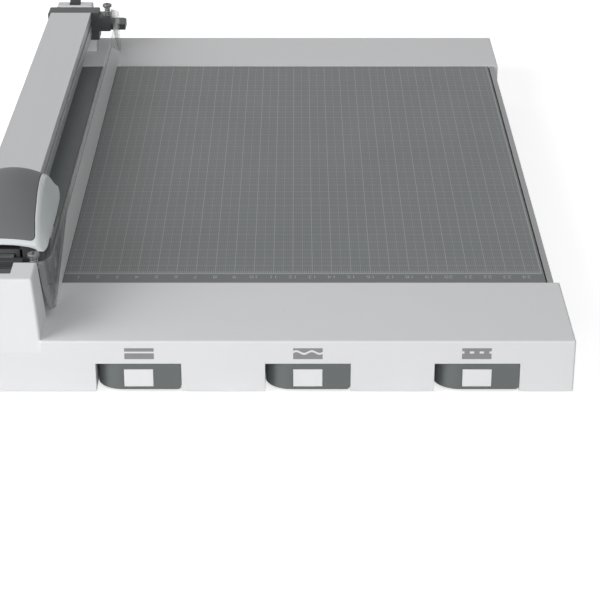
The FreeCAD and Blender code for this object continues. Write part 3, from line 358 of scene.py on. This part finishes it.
deck_material = moulded("deck_plastic", deck_colour, 0.5, edge=0.0002, grain=1600, height=0.25, marks=0.03)
tree = deck_material.node_tree
surface = tree.nodes["Principled BSDF"].inputs
plain = surface["Base Color"].links[0].from_socket
grid = add(tree, "ShaderNodeGroup", node_tree=printed_grid())
for name, value in (("Zero X", cut_x), ("Start Y", grid_start_y), ("Right X", grid_right)):
    grid.inputs[name].default_value = value
worn_ink = calculate(tree, "MULTIPLY", grid.outputs["Ink"], ink_cover)
feed(tree, surface["Base Color"], mix_colours(tree, worn_ink, plain, ink_colour))
dress(deck_material, "deck_plate")

# Numerals 1 to 24, one per centimetre from the cutting line, printed with the grid. They are
# read from the lift end, so they stand upside down for the camera.
numeral_height = 0.0048
numeral_drop = 0.0041
ink_thickness = 0.00001
last_numeral = 24
numeral_y = grid_start_y - numeral_drop
ink_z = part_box("deck_plate")[1].z + 2 * ink_thickness
numeral_mesh = bmesh.new()
for count in range(1, last_numeral + 1):
    text = bpy.data.curves.new("numeral", "FONT")
    text.body = str(count)
    text.size = numeral_height
    text.align_x = "CENTER"
    text.align_y = "CENTER"
    text.extrude = ink_thickness
    letter = bpy.data.objects.new("numeral", text)
    scene.collection.objects.link(letter)
    bpy.context.view_layer.update()
    shape = bpy.data.meshes.new_from_object(letter)
    place = Matrix.Translation((cut_x + count * 2 * grid_pitch, numeral_y, ink_z))
    shape.transform(place @ Matrix.Rotation(math.pi, 4, "Z"))
    numeral_mesh.from_mesh(shape)
    bpy.data.objects.remove(letter)
    bpy.data.meshes.remove(shape)
    bpy.data.curves.remove(text)
numerals_data = bpy.data.meshes.new("deck_numerals")
numeral_mesh.to_mesh(numerals_data)
numeral_mesh.free()
numerals = bpy.data.objects.new("deck_numerals", numerals_data)
scene.collection.objects.link(numerals)
numerals_data.materials.append(moulded("numeral_ink", (0.34, 0.36, 0.36), 0.5, edge=0.00002, height=0.1))
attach(numerals, "base")

# Cutting strip: a softer plastic bar in the deck and nearly of its colour, with a groove that
# the blade runs in. The blade has left the groove's edges a little paler.
dress(moulded("strip_plastic", (0.085, 0.092, 0.092), 0.4, edge=0.0002, wear=1.6), "cutting_strip")

# End caps: two silvery white ABS mouldings with a fine spark texture. The storage cap carries
# three printed signs over its slots, for the straight, the wavy and the perforating cutter.
cap_colour = (0.77, 0.775, 0.785)
cap_finish = dict(edge=0.0003, grain=2600, height=0.35, wear=1.04, marks=0.025)
sign_colour = (0.25, 0.255, 0.26, 1)
cap_face_top = 0.0285
sign_width = 0.0142
sign_top = -0.0037
sign_bottom = -0.0096
gap_drop = 0.0023
wave_length = 0.0075
bridge_pitch = 0.0047
bridge_width = 0.0026
sign_kinds = (("straight", 0.0009, 0, 0), ("wave", 0.0011, 0.0007, 0), ("perforation", 0.0012, 0, 1))
# the signs stand slightly closer together than the tabs under them
sign_spread = 0.993
ink_depth = 0.0002


def cutting_sign():
    """Two bars with a gap between them: straight, waving, or bridged by a row of dots."""
    inputs = ("Middle X", "Front Y", "Top Z", "Gap", "Wave", "Dots")
    group, given, result = new_group("cutting_sign", inputs, ("Ink",))
    point = object_place(group)
    math_node = partial(calculate, group)
    across = math_node("SUBTRACT", point["X"], given["Middle X"])
    below = math_node("SUBTRACT", point["Z"], given["Top Z"])
    inside = math_node("LESS_THAN", math_node("ABSOLUTE", across), sign_width / 2)
    inside = math_node("MULTIPLY", inside, math_node("LESS_THAN", below, sign_top))
    inside = math_node("MULTIPLY", inside, math_node("GREATER_THAN", below, sign_bottom))
    at_front = math_node("LESS_THAN", point["Y"], math_node("ADD", given["Front Y"], ink_depth))
    inside = math_node("MULTIPLY", inside, at_front)
    turn = math_node("MULTIPLY", across, 2 * math.pi / wave_length)
    swing = math_node("MULTIPLY", math_node("SINE", turn), given["Wave"])
    gap_middle = math_node("ADD", swing, sign_top - gap_drop)
    from_gap = math_node("ABSOLUTE", math_node("SUBTRACT", below, gap_middle))
    gap = math_node("LESS_THAN", from_gap, math_node("MULTIPLY", given["Gap"], 0.5))
    bridge = math_node("LESS_THAN", math_node("PINGPONG", across, bridge_pitch / 2), bridge_width / 2)
    bridge = math_node("MULTIPLY", bridge, given["Dots"])
    open_gap = math_node("MULTIPLY", gap, math_node("SUBTRACT", 1.0, bridge))
    feed(group, result["Ink"], math_node("MULTIPLY", inside, math_node("SUBTRACT", 1.0, open_gap)))
    return group


def middle_x(node):
    low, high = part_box(node)
    return (low.x + high.x) / 2


dress(moulded("cap_plastic", cap_colour, 0.5, **cap_finish), "lift_end_cap")
dress(moulded("plug_plastic", cap_colour, 0.5, **cap_finish), "hinge_plug")
storage_material = moulded("printed_cap_plastic", cap_colour, 0.5, **cap_finish)
tree = storage_material.node_tree
surface = tree.nodes["Principled BSDF"].inputs
shade = surface["Base Color"].links[0].from_socket
sign_group = cutting_sign()
middle_sign = middle_x("wave_cartridge_tab")
front_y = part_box("storage_end_cap")[0].y
for style, gap, wave, dots in sign_kinds:
    sign = add(tree, "ShaderNodeGroup", node_tree=sign_group)
    sign_x = middle_sign + sign_spread * (middle_x(style + "_cartridge_tab") - middle_sign)
    for name, value in (("Middle X", sign_x), ("Front Y", front_y), ("Top Z", cap_face_top),
                        ("Gap", gap), ("Wave", wave), ("Dots", dots)):
        sign.inputs[name].default_value = value
    shade = mix_colours(tree, sign.outputs["Ink"], shade, sign_colour)
feed(tree, surface["Base Color"], shade)
dress(storage_material, "storage_end_cap")

# Hinge pin and blade axles: steel pins that are turned and then ground to size, bright and
# lightly oiled.
cartridge_names = ("straight", "wave", "perforation", "head")
ground_steel = plated("ground_steel", (0.60, 0.60, 0.61), 0.25, grain=2400, height=0.08)
dress(ground_steel, "hinge_pin", *[name + "_blade_axle" for name in cartridge_names])

# Springs: open coils of drawn spring wire, two under the guard's screws and two under the
# press holder. Each is fixed at one end.
same_point = 0.000001
spring_wire = plated("spring_wire", (0.52, 0.52, 0.53), 0.28, grain=1800, height=0.1)


def coil_spring(node, body):
    coil_mesh = bmesh.new()
    coil_mesh.from_mesh(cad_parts[node].data)
    bmesh.ops.remove_doubles(coil_mesh, verts=coil_mesh.verts, dist=same_point)
    for face in coil_mesh.faces:
        face.smooth = True
    data = bpy.data.meshes.new(node + "_coil")
    coil_mesh.to_mesh(data)
    coil_mesh.free()
    data.materials.clear()
    data.materials.append(spring_wire)
    coil = bpy.data.objects.new(node + "_coil", data)
    scene.collection.objects.link(coil)
    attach(coil, body)
    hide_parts(node)
    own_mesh(coil)


for end in ("near", "far"):
    coil_spring("guard_spring_" + end, "rail_arm")
    coil_spring("press_spring_" + end, "carriage")

# Rail: an extruded aluminium box, satin anodised. The die left fine lines along it, and the
# head's glides have polished its grooves.
die_lines = (2500, 6, 2500)
dull_lines, bright_lines = 0.88, 1.08
polish = 0.07


def drawn_metal(name, colour, roughness, stretch):
    material, tree, surface = new_material(name)
    surface["Metallic"].default_value = 1
    skin = skin_of(tree, edge=0.0003, grain=3000, height=0.05)
    along = add(tree, "ShaderNodeMapping")
    feed(tree, along.inputs["Vector"], add(tree, "ShaderNodeTexCoord").outputs["Object"])
    along.inputs["Scale"].default_value = stretch
    lines = add(tree, "ShaderNodeTexNoise")
    for socket, value in (("Vector", along.outputs[0]), ("Scale", 1), ("Detail", 4)):
        feed(tree, lines.inputs[socket], value)
    scratches = add(tree, "ShaderNodeBump")
    for socket, value in (("Strength", 0.25), ("Distance", 0.00004),
                          ("Height", lines.outputs[0]), ("Normal", skin["Normal"])):
        feed(tree, scratches.inputs[socket], value)
    shade = mix_colours(tree, lines.outputs[0], toned(colour, dull_lines), toned(colour, bright_lines))
    feed(tree, surface["Base Color"], shade)
    gloss = spread(tree, lines.outputs[0], noise_range, (roughness - polish, roughness + polish))
    feed(tree, surface["Roughness"], gloss)
    feed(tree, surface["Normal"], scratches.outputs[0])
    return material


dress(drawn_metal("anodised_aluminium", (0.48, 0.486, 0.493), 0.52, die_lines), "rail")

# Rail end pieces and the lock's bolt: nearly black glass-filled nylon, with a coarser skin.
# One end piece turns on the hinge pin, and the other carries the lift tab.
end_plastic = moulded("end_plastic", (0.060, 0.063, 0.065), 0.55, grain=1500, height=0.5, wear=1.7)
dress(end_plastic, "rail_knuckle", "rail_lift_end", "rail_lock")

# Guard strip: 1.2 mm smoked plastic, moulded with its curved noses and polished, so that
# the deck and the cap show through it. Its lower part along the wall, beside the blade, is
# painted as a pale, rougher band. This is painted light, standing in for the light that the wall
# reflects and lets through. The band fades out toward the clear noses.
smoke_tints = (0.36, 0.378, 0.378, 1), (0.42, 0.44, 0.44, 1)
# painted light: the pale colour of the lit band along the guard's lower wall
painted_band_colour = (0.90, 0.92, 0.92, 1)
painted_band_height = 0.025
painted_band_border = (0.0015, -0.0025)
clear_nose = 0.006
full_painted_band = 0.07
painted_band_cover = 0.9
polished, painted_band_roughness = 0.14, 0.5
thin_smoke, thick_smoke = 0.14, 0.32
seen_along = (0.3, 0.85)
nose_lean = 0.003
nose_edge = (0.0032, 0.0004)
edge_cover = 0.6
guard_low, guard_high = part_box("guard_strip")
half_length = (guard_high.y - guard_low.y) / 2
smoke, tree, surface = new_material("guard_smoke")
surface["IOR"].default_value = 1.49
skin = skin_of(tree, edge=0.0003, grain=500, height=0.03)
point = object_place(tree)
from_middle = calculate(tree, "SUBTRACT", point["Y"], (guard_low.y + guard_high.y) / 2)
distance = calculate(tree, "ABSOLUTE", from_middle)
# the painted light band's top rises from the clear noses to its full height along the wall
painted_band_top = spread(tree, distance, (half_length - clear_nose, half_length - full_painted_band),
                   (guard_low.z, guard_low.z + painted_band_height))
above_painted_band = calculate(tree, "SUBTRACT", point["Z"], painted_band_top)
painted_band = spread(tree, above_painted_band, painted_band_border, (0, 1), "SMOOTHSTEP")
tint = mix_colours(tree, skin["Marks"], *smoke_tints)
# the painted light band is mixed as a pale colour over the smoke tint
feed(tree, surface["Base Color"], mix_colours(tree, painted_band, tint, painted_band_colour))
feed(tree, surface["Roughness"], spread(tree, painted_band, (0, 1), (polished, painted_band_roughness)))
# the smoke is denser where the wall is looked along
slant = add(tree, "ShaderNodeLayerWeight").outputs["Facing"]
density = spread(tree, slant, seen_along, (thin_smoke, thick_smoke))
# and at the noses' leaning ends, where its edge is seen
end_lean = spread(tree, point["Z"], (guard_high.z, guard_low.z), (0, nose_lean))
along_nose = calculate(tree, "ADD", distance, end_lean)
edge_band = tuple(half_length - inset for inset in nose_edge)
end_edge = spread(tree, along_nose, edge_band, (0, edge_cover), "SMOOTHSTEP")
clear_part = calculate(tree, "MAXIMUM", density, end_edge)
# the painted light band is made nearly opaque, so that its pale colour shows
painted_band_part = calculate(tree, "MULTIPLY", painted_band, painted_band_cover)
feed(tree, surface["Alpha"], calculate(tree, "MAXIMUM", clear_part, painted_band_part))
feed(tree, surface["Normal"], skin["Normal"])
dress(smoke, "guard_strip")

# Cutting head, inside: a dark frame that hugs the rail on white acetal glides, and the press
# holder that carries the cartridge.
frame_plastic = moulded("frame_plastic", (0.075, 0.077, 0.079), 0.5, grain=1800, height=0.35, wear=1.5)
dress(frame_plastic, "carriage_frame", "press_holder")
glide_acetal = moulded("glide_acetal", (0.78, 0.78, 0.76), 0.3, edge=0.0002, height=0.08, wear=1.02)
dress(glide_acetal, "carriage_glides")

# Cutting head, outside: a pale silver-grey satin cover, and a dark soft-touch grip let into
# its crown, stippled so that a palm doesn't slip.
cover_finish = dict(edge=0.0005, grain=2600, height=0.08, wear=1.05, marks=0.02)
dress(moulded("cover_plastic", (0.73, 0.765, 0.775), 0.34, **cover_finish), "carriage_shell")
grip_finish = dict(edge=0.0005, grain=1300, height=0.45, wear=1.15)
dress(moulded("grip_rubber", (0.145, 0.15, 0.152), 0.62, **grip_finish), "grip_pad")

# Cartridges: dark grey bodies with a white tab let into the face, one in the head and three
# in the storage cap's slots.
body_finish = dict(grain=2000, height=0.3, wear=1.25)
cartridge_plastic = moulded("cartridge_plastic", (0.115, 0.129, 0.127), 0.5, **body_finish)
tab_finish = dict(edge=0.0002, grain=2600, height=0.15, wear=1.02)
tab_plastic = moulded("tab_plastic", (0.81, 0.815, 0.82), 0.42, **tab_finish)
for name in cartridge_names:
    dress(cartridge_plastic, name + "_cartridge_body")
    dress(tab_plastic, name + "_cartridge_tab")

# Round blades: hardened steel, turned and ground, with fine rings round the axle and a bright
# ground edge.
ring_tints = (0.58, 0.58, 0.59, 1), (0.70, 0.70, 0.71, 1)
ring_gloss = (0.18, 0.32)


def ground_blade(name, centre, turned):
    material, tree, surface = new_material(name)
    surface["Metallic"].default_value = 1
    centred = add(tree, "ShaderNodeMapping", vector_type="TEXTURE")
    feed(tree, centred.inputs["Vector"], add(tree, "ShaderNodeTexCoord").outputs["Object"])
    centred.inputs["Location"].default_value = centre
    centred.inputs["Rotation"].default_value = turned
    rings = add(tree, "ShaderNodeTexWave", wave_type="RINGS", rings_direction="Z")
    for socket, value in (("Vector", centred.outputs[0]), ("Scale", 900),
                          ("Distortion", 1.5), ("Detail", 2)):
        feed(tree, rings.inputs[socket], value)
    ring = rings.outputs["Fac"]
    cuts = add(tree, "ShaderNodeBump")
    for socket, value in (("Strength", 0.15), ("Distance", 0.00003), ("Height", ring)):
        feed(tree, cuts.inputs[socket], value)
    feed(tree, surface["Base Color"], mix_colours(tree, ring, *ring_tints))
    feed(tree, surface["Roughness"], spread(tree, ring, (0, 1), ring_gloss))
    feed(tree, surface["Normal"], cuts.outputs[0])
    return material


for name in cartridge_names:
    low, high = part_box(name + "_blade_axle")
    turned = (0, math.pi / 2, 0) if name == "head" else (0, 0, 0)
    dress(ground_blade(name + "_blade_steel", (low + high) / 2, turned), name + "_blade")
